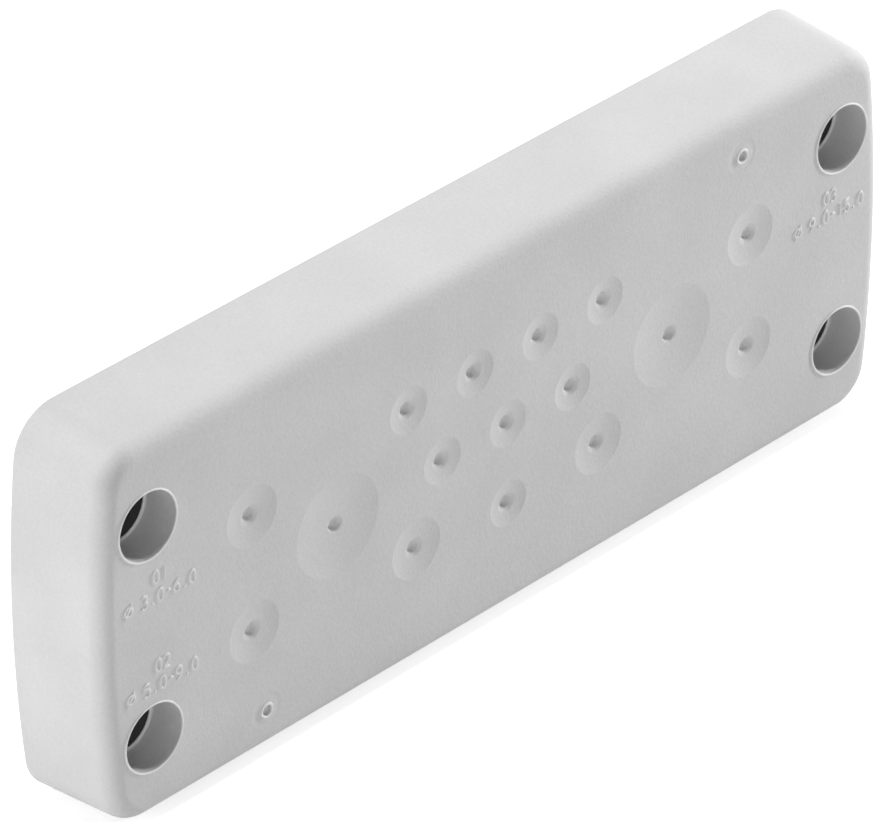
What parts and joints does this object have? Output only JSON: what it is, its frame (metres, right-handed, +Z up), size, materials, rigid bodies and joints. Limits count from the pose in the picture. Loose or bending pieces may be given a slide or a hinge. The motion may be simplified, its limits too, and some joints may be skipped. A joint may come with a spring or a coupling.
{
  "type": "cable entry plate",
  "caption": "Upright oblong cable entry plate: a soft grey sealing body with dimpled pierce-through membranes, moulded over a rigid black core with counterbored screw holes.",
  "frame": {"origin": "centre of the four screw holes on the plane of the rear face, which lies on the wall", "axes": "+X along the plate to the right as seen from the front, +Y from the front to the wall, +Z up"},
  "size_m": [0.1492, 0.0159, 0.058],
  "materials": {
    "elastomer": "matt light grey moulded elastomer with a fine grain",
    "core_plastic": "matt black glass-filled polyamide"
  },
  "bodies": {
    "root": {"sealing_body": "elastomer", "core_frame": "core_plastic"}
  },
  "joints": []
}
